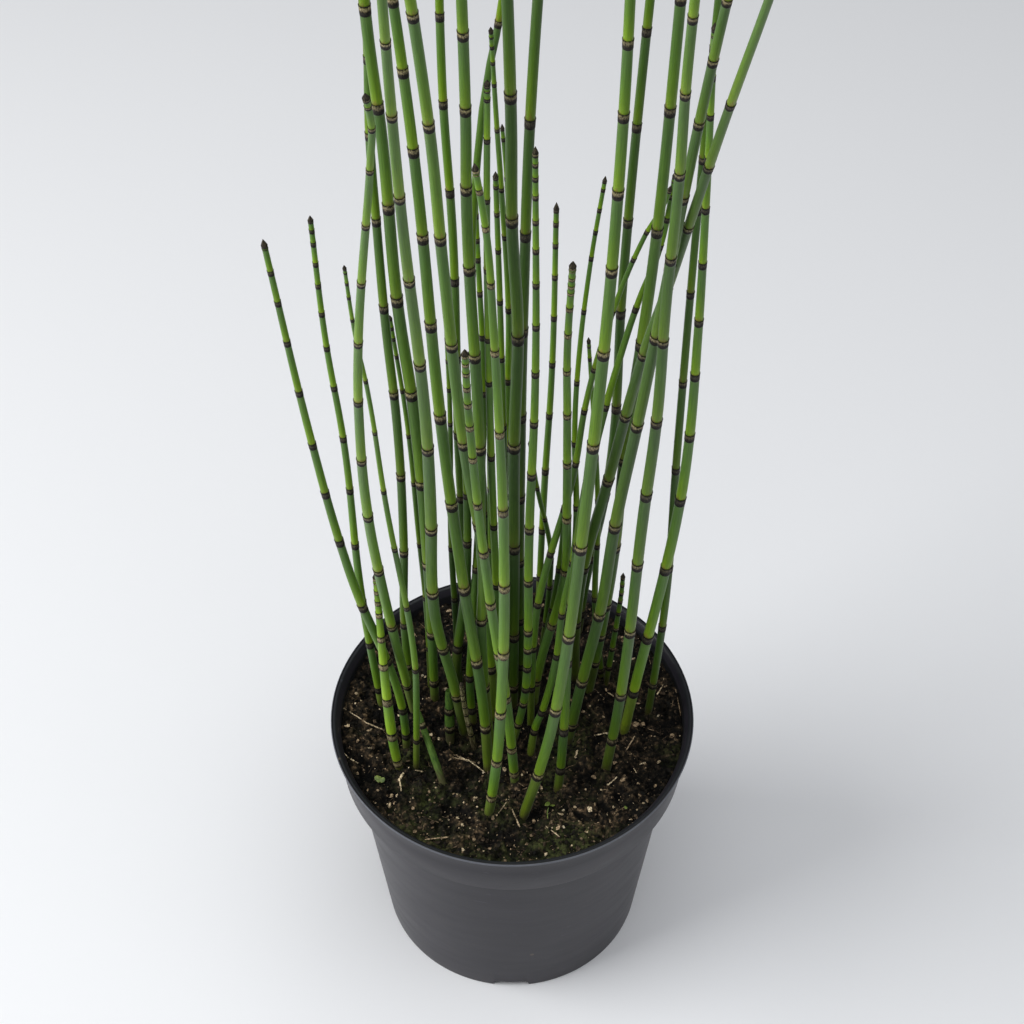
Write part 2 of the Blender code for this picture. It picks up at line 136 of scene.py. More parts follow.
pot = turned("nursery_pot", POT_OUTLINE, POT_SIDES)
for notch in range(NOTCHES):
    turn = math.radians(NOTCH_TURN + 360 / NOTCHES * notch)
    bpy.ops.object.select_all(action="DESELECT")
    bpy.ops.mesh.primitive_cube_add(size=1, location=(0, -NOTCH_REACH * MM, 0.0))
    block = bpy.context.object
    block.scale = [side * MM for side in NOTCH_SIZE]
    bpy.ops.object.transform_apply(location=True, scale=True)
    for vertex in block.data.vertices:
        if vertex.co.z > 0:
            vertex.co.x *= NOTCH_NARROWING
    edge_round = block.modifiers.new("rounding", "BEVEL")
    edge_round.width = NOTCH_ROUNDING * MM
    edge_round.segments = 3
    bpy.ops.object.modifier_apply(modifier=edge_round.name)
    block.data.transform(Matrix.Rotation(turn, 4, "Z"))
    cut_away(pot, block)
for drain in range(DRAINS):
    angle = 2 * math.pi * (drain + 0.5) / DRAINS
    drain_place = (DRAIN_CIRCLE * MM * math.cos(angle), DRAIN_CIRCLE * MM * math.sin(angle), 0.004)
    bpy.ops.object.select_all(action="DESELECT")
    bpy.ops.mesh.primitive_cylinder_add(vertices=DRAIN_SIDES, radius=DRAIN_RADIUS * MM,
                                        depth=DRAIN_DEPTH * MM, location=drain_place)
    plug = bpy.context.object
    bpy.ops.object.transform_apply(location=True)
    cut_away(pot, plug)
bpy.ops.object.shade_smooth_by_angle(angle=math.radians(32))


def new_finish(name, roughness):
    """A material and its shader."""
    material = bpy.data.materials.new(name)
    material.use_nodes = True
    shader = material.node_tree.nodes["Principled BSDF"]
    shader.inputs["Roughness"].default_value = roughness
    return material, shader


def add_node(material, kind, **settings):
    made = material.node_tree.nodes.new(kind)
    for setting, value in settings.items():
        setattr(made, setting, value)
    return made


def link(material, source, target):
    material.node_tree.links.new(source, target)


def noise(material, place, scale, detail=4.0, stretch=(1, 1, 1)):
    """A noise from 0 to 1 over a place, stretched along an axis where its factor is small."""
    mapping = add_node(material, "ShaderNodeMapping")
    mapping.inputs["Scale"].default_value = stretch
    link(material, place, mapping.inputs["Vector"])
    texture = add_node(material, "ShaderNodeTexNoise")
    texture.inputs["Scale"].default_value = scale
    texture.inputs["Detail"].default_value = detail
    link(material, mapping.outputs["Vector"], texture.inputs["Vector"])
    return texture.outputs["Fac"]


def ramp(material, factor, stops):
    """A run of colours over a factor, as pairs of a position and a colour."""
    colours = add_node(material, "ShaderNodeValToRGB")
    elements = colours.color_ramp.elements
    while len(elements) < len(stops):
        elements.new(0.5)
    for element, (position, colour) in zip(elements, stops):
        element.position = position
        element.color = (*colour, 1.0)
    link(material, factor, colours.inputs["Fac"])
    return colours.outputs["Color"]


def mix(material, factor, first, second, blend="MIX"):
    """One colour over another; each is a socket or a plain colour, and the factor a socket or a number."""
    mixer = add_node(material, "ShaderNodeMix", data_type="RGBA", blend_type=blend)
    sockets = {s.identifier: s for s in mixer.inputs}
    for key, value in (("Factor_Float", factor), ("A_Color", first), ("B_Color", second)):
        if isinstance(value, bpy.types.NodeSocket):
            link(material, value, sockets[key])
        elif key == "Factor_Float":
            sockets[key].default_value = value
        else:
            sockets[key].default_value = (*value, 1.0)
    return {s.identifier: s for s in mixer.outputs}["Result_Color"]


def maths(material, operation, first, second=0.0, clamp=False):
    """A sum on two values, each a socket or a number."""
    made = add_node(material, "ShaderNodeMath", operation=operation, use_clamp=clamp)
    for slot_input, value in zip(made.inputs, (first, second)):
        if isinstance(value, bpy.types.NodeSocket):
            link(material, value, slot_input)
        else:
            slot_input.default_value = value
    return made.outputs["Value"]


def attribute(material, name, output="Fac"):
    return add_node(material, "ShaderNodeAttribute", attribute_name=name).outputs[output]


def raise_surface(material, shader, height, strength, distance):
    """Fine relief on a shader from a height."""
    bump = add_node(material, "ShaderNodeBump")
    bump.inputs["Strength"].default_value = strength
    bump.inputs["Distance"].default_value = distance
    link(material, height, bump.inputs["Height"])
    link(material, bump.outputs["Normal"], shader.inputs["Normal"])


LIP_EDGE_START = 0.0938
LIP_EDGE_RATE = 800
SPECKS_PER_METRE = 60
DRIED_SOIL = (0.16, 0.13, 0.09)


def pot_finish(name, low, high, roughness, gloss):
    """Charcoal plastic with faint rings and scuffs, a painted ring of shade along the lip with a painted
    highlight on its outer edge, and specks of dried soil.
    """
    material, shader = new_finish(name, roughness)
    shader.inputs["Specular IOR Level"].default_value = gloss
    place = add_node(material, "ShaderNodeTexCoord").outputs["Object"]
    colour = ramp(material, noise(material, place, 9, 3), [(0.3, low), (0.7, high)])
    rings = ramp(material, noise(material, place, 14, 8, (1, 1, 34)),
                 [(0.58, (1, 1, 1)), (0.74, (1.25, 1.25, 1.25))])
    colour = mix(material, 1.0, colour, rings, "MULTIPLY")
    scratch = ramp(material, noise(material, place, 120, 2, (1, 1, 9)),
                   [(0.70, (0, 0, 0)), (0.76, (1, 1, 1))])
    colour = mix(material, maths(material, "MULTIPLY", scratch, 0.4), colour, tuple(3.5 * c for c in high))
    flat = add_node(material, "ShaderNodeMapping")
    flat.inputs["Scale"].default_value = (1, 1, 0)
    link(material, place, flat.inputs["Vector"])
    across = add_node(material, "ShaderNodeVectorMath", operation="LENGTH")
    link(material, flat.outputs["Vector"], across.inputs[0])
    # Painted light on the lip, set by the distance from the axis: a dark ring of painted shade under and
    # along it, then a painted highlight on its rounded outer edge.
    from_edge = maths(material, "SUBTRACT", across.outputs["Value"], LIP_EDGE_START)
    to_edge = maths(material, "MULTIPLY", from_edge, LIP_EDGE_RATE)
    painted_lip_light = ramp(material, to_edge, [(0.0, (1, 1, 1)), (0.06, (0.1, 0.1, 0.1)), (0.48, (0.1, 0.1, 0.1)),
                                    (0.60, (4, 4, 4)), (0.95, (7, 7, 7))])
    colour = mix(material, 1.0, colour, painted_lip_light, "MULTIPLY")
    speck = add_node(material, "ShaderNodeTexVoronoi")
    speck.inputs["Scale"].default_value = SPECKS_PER_METRE
    link(material, place, speck.inputs["Vector"])
    near = ramp(material, speck.outputs["Distance"], [(0.055, (1, 1, 1)), (0.085, (0, 0, 0))])
    rare = ramp(material, noise(material, place, 9, 2), [(0.60, (0, 0, 0)), (0.66, (1, 1, 1))])
    colour = mix(material, maths(material, "MULTIPLY", near, rare), colour, DRIED_SOIL)
    link(material, colour, shader.inputs["Base Color"])
    uneven = ramp(material, noise(material, place, 30, 6, (1, 1, 5)),
                  [(0.3, (roughness - 0.02,) * 3), (0.75, (roughness + 0.05,) * 3)])
    link(material, uneven, shader.inputs["Roughness"])
    raise_surface(material, shader, noise(material, place, 1400, 3), 0.2, 0.0002)
    return material


POT_WALL_LOW = (0.023, 0.0215, 0.028)
POT_WALL_HIGH = (0.030, 0.0280, 0.036)
# The lip and the inner wall above the soil get a darker copy of the same plastic. This is painted shade,
# standing for the dark room the lip's top reflects and the shade inside the rim.
POT_SHADED_LIP_LOW = (0.014, 0.015, 0.018)
POT_SHADED_LIP_HIGH = (0.022, 0.023, 0.027)
pot.data.materials.append(pot_finish("pot_plastic", POT_WALL_LOW, POT_WALL_HIGH,
                                     roughness=0.36, gloss=0.22))
pot.data.materials.append(pot_finish("pot_plastic_painted_shade", POT_SHADED_LIP_LOW, POT_SHADED_LIP_HIGH,
                                     roughness=0.38, gloss=0.3))
# Faces of the lip and of the inside of the rim take the darker, painted-shade copy of the plastic.
for face in pot.data.polygons:
    across = math.hypot(face.center.x, face.center.y)
    within = face.center.z > LIP_INNER_FOOT * MM and across < LIP_INNER_REACH * MM
    face.material_index = int(face.center.z > LIP_FOOT * MM or within)
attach(pot, "root")
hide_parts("pot")


# Soil: a moist, dark mix of peat and bark a little below the lip, mossy in patches and most of all at
# the front. Its surface is a fine grid that is lumped by clouds of several sizes; the root ball under
# it hides in the pot.
SOIL_LEVEL = 148.2
SOIL_REACH = 90.2
SOIL_CELLS = 300
SOIL_LUMPS = [("heaps", "CLOUDS", 26.0, 5.0), ("clods", "VORONOI", 9.0, -5.5), ("lumps", "CLOUDS", 5.0, 4.5),
              ("crumb", "CLOUDS", 2.2, 3.0), ("grain", "CLOUDS", 1.1, 1.6)]
SOIL_RELIEF = 5.0
SOIL_SIDES = [(0.975, 136.0), (0.93, 131.0), (0.99, 127.0), (0.84, 7.5)]
bpy.ops.object.select_all(action="DESELECT")
bpy.ops.mesh.primitive_grid_add(x_subdivisions=SOIL_CELLS, y_subdivisions=SOIL_CELLS,
                                size=2 * SOIL_REACH * MM, location=(0, 0, SOIL_LEVEL * MM))
soil = bpy.context.object
soil.name = "potting_soil"
bpy.ops.object.transform_apply(location=True)
places = np.zeros(len(soil.data.vertices) * 3)
soil.data.vertices.foreach_get("co", places)
outside = np.hypot(places[0::3], places[1::3]) > SOIL_REACH * MM
soil.data.polygons.foreach_set("select", np.zeros(len(soil.data.polygons), bool))
soil.data.edges.foreach_set("select", np.zeros(len(soil.data.edges), bool))
soil.data.vertices.foreach_set("select", outside)
bpy.ops.object.mode_set(mode="EDIT")
bpy.ops.mesh.delete(type="VERT")
bpy.ops.object.mode_set(mode="OBJECT")
soil.data.attributes.new("rise", "FLOAT", "POINT")
for lump, kind, size, height in SOIL_LUMPS:
    texture = bpy.data.textures.new(lump, kind)
    texture.noise_scale = size * MM
    displace = soil.modifiers.new(lump, "DISPLACE")
    displace.texture = texture
    displace.texture_coords = "LOCAL"
    displace.direction = "Z"
    displace.strength = height * MM
    displace.mid_level = 0.5
    bpy.ops.object.modifier_apply(modifier=displace.name)
heights = np.zeros(len(soil.data.vertices) * 3)
soil.data.vertices.foreach_get("co", heights)
heights = heights[2::3]
rise = np.clip(0.5 + (heights - heights.mean()) / (SOIL_RELIEF * MM), 0.0, 1.0)
soil.data.attributes["rise"].data.foreach_set("value", rise)
bpy.ops.object.mode_set(mode="EDIT")
bpy.ops.mesh.select_all(action="DESELECT")
bpy.ops.mesh.select_mode(type="EDGE")
bpy.ops.mesh.select_non_manifold()
for narrowing, height in SOIL_SIDES:
    bpy.ops.mesh.extrude_region_move()
    bpy.ops.transform.resize(value=(narrowing, narrowing, 0), center_override=(0, 0, height * MM))
bpy.ops.mesh.edge_face_add()
bpy.ops.mesh.select_all(action="SELECT")
bpy.ops.mesh.normals_make_consistent(inside=False)
bpy.ops.mesh.select_mode(type="VERT")
bpy.ops.object.mode_set(mode="OBJECT")
bpy.ops.object.shade_smooth()

soil_finish, soil_shader = new_finish("moist_potting_soil", 0.82)
soil_shader.inputs["Specular IOR Level"].default_value = 0.12
soil_place = add_node(soil_finish, "ShaderNodeTexCoord").outputs["Object"]
soil_colour = ramp(soil_finish, noise(soil_finish, soil_place, 420, 8),
                   [(0.36, (0.0015, 0.0015, 0.0015)), (0.52, (0.0105, 0.0092, 0.0066)),
                    (0.64, (0.044, 0.034, 0.023)), (0.76, (0.170, 0.130, 0.090))])
soil_patch = ramp(soil_finish, noise(soil_finish, soil_place, 45, 4),
                  [(0.38, (0.3, 0.3, 0.3)), (0.62, (1.8, 1.65, 1.5))])
soil_colour = mix(soil_finish, 1.0, soil_colour, soil_patch, "MULTIPLY")
# Painted shade: by the height of the lumped surface, the soil is darkened in its hollows and lightened on its
# crests.
soil_painted_hollow_shade = ramp(soil_finish, attribute(soil_finish, "rise"),
                   [(0.25, (0.12, 0.12, 0.12)), (0.75, (1.5, 1.42, 1.3))])
soil_colour = mix(soil_finish, 1.0, soil_colour, soil_painted_hollow_shade, "MULTIPLY")
MOSS_START = -0.03
MOSS_RATE = 3.2
soil_axes = add_node(soil_finish, "ShaderNodeSeparateXYZ")
link(soil_finish, soil_place, soil_axes.inputs["Vector"])
to_front = maths(soil_finish, "SUBTRACT", MOSS_START, soil_axes.outputs["Y"])
ahead = maths(soil_finish, "MULTIPLY", to_front, MOSS_RATE, True)
mossy = maths(soil_finish, "ADD", noise(soil_finish, soil_place, 38, 6), ahead)
moss = ramp(soil_finish, mossy, [(0.54, (0, 0, 0)), (0.70, (0.65, 0.65, 0.65))])
moss_green = ramp(soil_finish, noise(soil_finish, soil_place, 380, 6),
                  [(0.40, (0.005, 0.007, 0.002)), (0.66, (0.068, 0.080, 0.024))])
soil_colour = mix(soil_finish, moss, soil_colour, moss_green)
link(soil_finish, soil_colour, soil_shader.inputs["Base Color"])
raise_surface(soil_finish, soil_shader, noise(soil_finish, soil_place, 900, 6), 0.9, 0.0006)
soil.data.materials.append(soil_finish)
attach(soil, "root")
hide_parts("soil")


# Crumbs and bark: loose lumps of the mix and splinters of bark, from half a millimetre to a few
# millimetres, modelled as a few rough stones and flakes and scattered over the soil.
def rough_lump(name, seed, flatness, fineness=1):
    """A small ball whose corners are pushed in and out, flattened for a flake."""
    bpy.ops.object.select_all(action="DESELECT")
    bpy.ops.mesh.primitive_ico_sphere_add(subdivisions=fineness, radius=1.0, location=(0, 0, 0))
    lump = bpy.context.object
    lump.name = name
    chance = random.Random(seed)
    for vertex in lump.data.vertices:
        vertex.co *= chance.uniform(0.68, 1.12)
        vertex.co.z *= flatness
        vertex.co.x *= 1.25
    return lump


def splinter(name, seed, sides=5, rings=6, wander=0.03):
    """A thin strand with ragged thickness, one unit long, that wanders to the sides."""
    bpy.ops.object.select_all(action="DESELECT")
    bpy.ops.mesh.primitive_circle_add(vertices=sides, radius=0.02, fill_type="NGON", location=(0, 0, 0))
    strand = bpy.context.object
    strand.name = name
    chance = random.Random(seed)
    bpy.ops.object.mode_set(mode="EDIT")
    bpy.ops.mesh.select_all(action="SELECT")
    for ring in range(1, rings + 1):
        bpy.ops.mesh.extrude_region_move(TRANSFORM_OT_translate={"value": (0, 0, 1 / rings)})
        thinner = 0.5 if ring == rings else chance.uniform(0.82, 1.16)
        bpy.ops.transform.resize(value=(thinner, thinner, 1))
        aside = (chance.uniform(-wander, wander), chance.uniform(-wander, wander), 0)
        bpy.ops.transform.translate(value=aside)
    bpy.ops.mesh.normals_make_consistent(inside=False)
    bpy.ops.object.mode_set(mode="OBJECT")
    strand.data.transform(Matrix.Rotation(math.radians(90), 4, "Y") @ Matrix.Translation((0, 0, -0.5)))
    return strand


def gather(name, shapes, placings, material):
    """Copies of a few shapes, each placed by a matrix and given a tone, as one piece."""
    points, faces, tones = [], [], []
    sources = []
    for shape in shapes:
        sources.append((np.array([v.co for v in shape.data.vertices]),
                        [tuple(p.vertices) for p in shape.data.polygons]))
    for which, matrix, tone in placings:
        source_points, source_faces = sources[which]
        start = len(tones)
        moved = source_points @ np.array(matrix.to_3x3()).T + np.array(matrix.translation)
        points.extend(moved.tolist())
        faces.extend([tuple(start + corner for corner in face) for face in source_faces])
        tones.extend([tone] * len(moved))
    mesh = bpy.data.meshes.new(name)
    mesh.from_pydata(points, [], faces)
    mesh.attributes.new("tone", "FLOAT", "POINT").data.foreach_set("value", tones)
    mesh.materials.append(material)
    piece = bpy.data.objects.new(name, mesh)
    bpy.context.scene.collection.objects.link(piece)
    for shape in shapes:
        bpy.data.objects.remove(shape)
    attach(piece, "root")
    return piece


def soil_top(x, y):
    """Height of the lumped soil at a place, in metres."""
    hit, point = soil.ray_cast(Vector((x, y, 0.2)), Vector((0, 0, -1)))[:2]
    return point.z if hit else SOIL_LEVEL * MM


def turned_placing(x, y, z, size, chance, tilt=math.pi):
    """A random turn and a size at a place."""
    spin = Matrix.Rotation(chance.uniform(0, 2 * math.pi), 4, "Z")
    lean = Matrix.Rotation(chance.uniform(-tilt, tilt), 4, "X")
    lean = lean @ Matrix.Rotation(chance.uniform(-tilt, tilt), 4, "Y")
    return Matrix.Translation((x, y, z)) @ spin @ lean @ Matrix.Scale(size, 4)


CRUMBS = 3800
FLAKES = 1500
FIBRES = 650
CRUMB_REACH = 88.5
CRUMB_FRONT = -42.0
CRUMB_SMALLEST = 0.30
CRUMB_SPREAD = 0.95
FLAKE_SIZE = 1.35
FIBRE_REACH = 86.0
scatter = random.Random(11)
crumb_finish, crumb_shader = new_finish("crumbs_of_soil", 0.8)
crumb_shader.inputs["Specular IOR Level"].default_value = 0.15
crumb_place = add_node(crumb_finish, "ShaderNodeTexCoord").outputs["Object"]
crumb_colour = ramp(crumb_finish, attribute(crumb_finish, "tone"),
                    [(0.0, (0.003, 0.003, 0.002)), (0.62, (0.011, 0.009, 0.006)),
                     (0.83, (0.070, 0.048, 0.030)), (0.94, (0.300, 0.215, 0.130)),
                     (1.0, (0.640, 0.520, 0.340))])
crumb_mottle = ramp(crumb_finish, noise(crumb_finish, crumb_place, 900, 5),
                    [(0.38, (0.25, 0.24, 0.22)), (0.62, (1.5, 1.5, 1.5))])
crumb_colour = mix(crumb_finish, 1.0, crumb_colour, crumb_mottle, "MULTIPLY")
link(crumb_finish, crumb_colour, crumb_shader.inputs["Base Color"])
raise_surface(crumb_finish, crumb_shader, noise(crumb_finish, crumb_place, 1500, 4), 0.6, 0.0003)

crumb_placings = []
for count in range(CRUMBS + FLAKES):
    flake = count >= CRUMBS
    reach = CRUMB_REACH * MM * scatter.random() ** (0.28 if flake else 0.5)
    angle = scatter.uniform(0, 2 * math.pi)
    x, y = reach * math.cos(angle), reach * math.sin(angle)
    size = MM * (CRUMB_SMALLEST + CRUMB_SPREAD * scatter.random() ** 3) * (FLAKE_SIZE if flake else 1.0)
    placing = turned_placing(x, y, soil_top(x, y) + 0.25 * size, size, scatter, 0.5 if flake else math.pi)
    darkness = (1.1 if flake else 1.5) * (0.55 if y < CRUMB_FRONT * MM else 1.0)
    crumb_placings.append(((2 if flake else 0) + count % 2, placing, scatter.random() ** darkness))
gather("soil_crumbs", [rough_lump("stone_a", 1, flatness=0.85), rough_lump("stone_b", 2, flatness=0.7),
                       rough_lump("flake_a", 3, flatness=0.25), rough_lump("flake_b", 4, flatness=0.2)],
       crumb_placings, crumb_finish)

fibre_placings = []
for count in range(FIBRES):
    reach = FIBRE_REACH * MM * math.sqrt(scatter.random())
    angle = scatter.uniform(0, 2 * math.pi)
    x, y = reach * math.cos(angle), reach * math.sin(angle)
    length = MM * scatter.uniform(2.5, 9.0)
    tone = 0.55 + 0.4 * scatter.random() ** 2
    placing = turned_placing(x, y, soil_top(x, y) + 0.0003, length, scatter, 0.25)
    fibre_placings.append((count % 3, placing, tone))
gather("soil_fibres", [splinter("strand_a", 5), splinter("strand_b", 6), splinter("strand_c", 7)],
       fibre_placings, crumb_finish)


# Litter: what lies on the soil and can be told apart, each where it lies in the pot: dry twigs and
# straws, pale grains of perlite, chips of wood, a scrap of leaf and a seedling.
STRAND_LIFT = 0.7
STRAND_SLIMNESS = 0.72
STRAND_WIDE = 0.04


def lying(start, end, thickness):
    """A strand of one unit laid between two places on the soil, given in millimetres."""
    low = Vector((start[0] * MM, start[1] * MM, 0))
    high = Vector((end[0] * MM, end[1] * MM, 0))
    low.z = soil_top(low.x, low.y) + STRAND_LIFT * MM
    high.z = soil_top(high.x, high.y) + STRAND_LIFT * MM
    along = high - low
    turn = along.to_track_quat("X", "Z").to_matrix().to_4x4()
    wide = STRAND_SLIMNESS * thickness * MM / STRAND_WIDE
    size = Matrix.Diagonal((along.length, wide, wide, 1))
    return Matrix.Translation((low + high) / 2) @ turn @ size


STRAWS = [
    ((-89, 8), (-77, -2), 0.9, 0.98), ((-77, -2), (-67, -6), 0.8, 0.97),
    ((-88, -20), (-85, -24), 0.8, 1.0), ((-84, -24), (-80, -26), 0.9, 1.0),
    ((-75, -19), (-72, -19), 0.7, 1.0), ((-56, -35), (-58, -40), 1.5, 0.99),
    ((-58, -39), (-57, -45), 1.3, 0.99), ((-29, -22), (-22, -27), 0.9, 0.99),
    ((-23, -26), (-14, -33), 1.0, 1.0), ((-33, -26), (-29, -21), 0.9, 0.95),
    ((-36, -20), (-27, -24), 0.7, 0.93), ((-33, -18), (-30, -25), 0.6, 0.94),
    ((-30, -24), (-19, -27), 0.8, 0.95), ((-50, -33), (-46, -32), 0.7, 0.98),
    ((-3, -53), (-8, -61), 0.8, 0.97), ((0, -57), (4, -66), 0.8, 0.96), ((13, -62), (24, -73), 0.9, 0.97),
    ((-44, -75), (-32, -74), 0.8, 0.95), ((44, 21), (49, 15), 0.7, 0.97), ((51, 20), (54, 16), 0.7, 0.97),
    ((81, 27), (80, 22), 0.7, 0.98), ((80, 22), (77, 18), 0.7, 0.98), ((87, 20), (89, 4), 1.0, 0.92),
    ((66, -30), (69, -27), 0.8, 0.99), ((63, -30), (64, -34), 0.8, 0.98),
    ((59, -20), (64, -11), 0.8, 0.95), ((54, -36), (51, -39), 0.9, 1.0), ((51, -39), (49, -41), 0.9, 1.0),
    ((43, -8), (50, -7), 1.1, 0.99), ((34, -19), (33, -24), 1.2, 0.97),
]
straw_placings = [(number % 2, lying(start, end, thickness), tone)
                  for number, (start, end, thickness, tone) in enumerate(STRAWS)]
straw_shapes = [splinter("straw_a", 21, sides=7, rings=8, wander=0.006),
                splinter("straw_b", 22, sides=7, rings=8, wander=0.006)]
gather("straws_and_twigs", straw_shapes, straw_placings, crumb_finish)

CHIPS = [(-62, -46, 2.0, 0.98), (-4, -33, 2.0, 0.99), (5, -35, 1.4, 1.0), (15, -42, 1.6, 0.99),
         (32, -54, 1.6, 0.99), (46, -44, 1.5, 0.99), (60, -2, 3.0, 0.93), (65, -2, 3.2, 0.95),
         (69, 0, 2.2, 0.96), (-54, -16, 1.2, 0.99), (76, -26, 1.8, 1.0), (-60, -52, 1.4, 0.97)]
PERLITE = [(-48, 31, 1.5), (77, 3, 1.3), (-15, -33, 1.2), (26, -57, 1.3), (26, -67, 1.6), (50, -7, 1.5)]
chip_placings = [(0, turned_placing(x * MM, y * MM, soil_top(x * MM, y * MM) + 0.4 * MM, 0.55 * size * MM,
                                    scatter, 0.4), tone - 0.03) for x, y, size, tone in CHIPS]
chip_shape = rough_lump("chip", 31, flatness=0.35, fineness=2)
gather("wood_chips", [chip_shape], chip_placings, crumb_finish)

perlite_finish, perlite_shader = new_finish("white_perlite", 0.85)
perlite_place = add_node(perlite_finish, "ShaderNodeTexCoord").outputs["Object"]
perlite_colour = ramp(perlite_finish, noise(perlite_finish, perlite_place, 900, 4),
                      [(0.3, (0.32, 0.25, 0.15)), (0.65, (0.60, 0.52, 0.38))])
link(perlite_finish, perlite_colour, perlite_shader.inputs["Base Color"])
raise_surface(perlite_finish, perlite_shader, noise(perlite_finish, perlite_place, 1800, 3), 0.7, 0.0003)
perlite_placings = [(0, turned_placing(x * MM, y * MM, soil_top(x * MM, y * MM) + 0.4 * size * MM,
                                       0.5 * size * MM, scatter), 1.0) for x, y, size in PERLITE]
perlite_shape = rough_lump("perlite", 41, flatness=0.85, fineness=2)
gather("perlite_grains", [perlite_shape], perlite_placings, perlite_finish)

leaf_finish, leaf_shader = new_finish("seedling_green", 0.5)
leaf_place = add_node(leaf_finish, "ShaderNodeTexCoord").outputs["Object"]
leaf_colour = ramp(leaf_finish, noise(leaf_finish, leaf_place, 500, 4),
                   [(0.3, (0.050, 0.095, 0.012)), (0.7, (0.210, 0.260, 0.050))])
link(leaf_finish, leaf_colour, leaf_shader.inputs["Base Color"])
LEAFLETS = [(-69, -36, 1.8, 1.0), (-67, -37, 1.3, 1.4), (18, -54, 1.5, 3.0), (20.5, -54.5, 1.2, 2.4),
            (58, -54, 0.9, 0.8)]
leaf_placings = [(0, turned_placing(x * MM, y * MM, soil_top(x * MM, y * MM) + lift * MM, size * MM,
                                    scatter, 0.5), 1.0) for x, y, size, lift in LEAFLETS]
leaf_placings.append((1, lying((18, -62), (18.5, -56), thickness=0.7), 1.0))
leaf_shapes = [rough_lump("leaflet", 51, flatness=0.18, fineness=2), splinter("stalk", 52)]
gather("seedlings", leaf_shapes, leaf_placings, leaf_finish)


# Stem parts: a horsetail stem is a stack of hollow, finely ribbed lengths. Each length is modelled once,
# straight and one unit thick, with the sheath that wraps its top joint: a toothed, banded collar.
RIBS = 20
THICK = 1.0 * MM
LENGTH_RINGS = [(0.012, 0.975), (0.05, 0.99), (0.15, 1.0), (0.32, 1.0), (0.5, 1.0), (0.68, 1.0),
                (0.86, 1.0), (0.97, 1.0), (1.0, 1.0)]
SHEATH_RINGS = [(0.04, 1.035), (0.22, 1.05), (0.42, 1.055), (0.62, 1.06), (0.80, 1.075), (0.92, 1.10),
                (1.0, 1.115), (0.985, 1.03), (0.86, 0.96)]
TOOTH = 0.08
GROOVE = 0.962
TIP_GROOVE = 0.86


def stem_part(name, radius, rings):
    """A straight tube, open below and closed above, drawn up through pairs of height and radius."""
    bpy.ops.object.select_all(action="DESELECT")
    bpy.ops.mesh.primitive_circle_add(vertices=2 * RIBS, radius=radius, location=(0, 0, 0))
    part = bpy.context.object
    part.name = name
    bpy.ops.object.mode_set(mode="EDIT")
    bpy.ops.mesh.select_all(action="SELECT")
    height = 0.0
    for next_height, next_radius in rings:
        bpy.ops.mesh.extrude_region_move(TRANSFORM_OT_translate={"value": (0, 0, next_height - height)})
        wider = next_radius / radius
        bpy.ops.transform.resize(value=(wider, wider, 1), center_override=(0, 0, next_height))
        height, radius = next_height, next_radius
    bpy.ops.mesh.edge_face_add()
    bpy.ops.mesh.select_all(action="SELECT")
    bpy.ops.mesh.normals_make_consistent(inside=False)
    bpy.ops.object.mode_set(mode="OBJECT")
    return part


length_part = stem_part("ribbed_length", 0.90, LENGTH_RINGS + [(1.0 + h, r) for h, r in SHEATH_RINGS])
for vertex in length_part.data.vertices:
    groove = round(math.atan2(vertex.co.y, vertex.co.x) * RIBS / math.pi) % 2 == 1
    if groove and vertex.co.z <= 1.0:
        vertex.co.x *= GROOVE
        vertex.co.y *= GROOVE
    if groove and abs(vertex.co.z - 2.0) < 0.001:
        vertex.co.z -= TOOTH
TIP_RINGS = [(0.08, 1.0), (0.22, 0.92), (0.38, 0.78), (0.54, 0.60), (0.70, 0.41), (0.84, 0.24),
             (0.95, 0.11), (1.0, 0.02)]
tip_part = stem_part("pointed_tip", 0.97, TIP_RINGS)
for vertex in tip_part.data.vertices:
    between = round(math.atan2(vertex.co.y, vertex.co.x) * RIBS / math.pi) % 4 == 1
    if between and 0.2 < vertex.co.z < 0.98:
        vertex.co.x *= TIP_GROOVE
        vertex.co.y *= TIP_GROOVE
STUMP_RINGS = [(0.3, 1.0), (0.7, 0.99), (0.92, 0.93), (1.0, 0.86), (0.9, 0.6), (0.75, 0.1)]
stump_part = stem_part("broken_top", 0.97, STUMP_RINGS)


# Stem skin: the green of each length runs from a fresh yellow-green above the joint below to a dull
# blue-green under the joint above, with fine pale streaks along its ribs and a dusty foot at the soil.
def skin_streaks(material):
    """Fine lights and darks that run along the stem."""
    return noise(material, attribute(material, "skin", "Vector"), 2.6, 3, (1, 1, 0.03))


BROWN_SPOT = (0.10, 0.07, 0.02)
DUST = (0.048, 0.036, 0.010)
DUST_LEVEL = 0.1475
DUST_FADE = 62.0


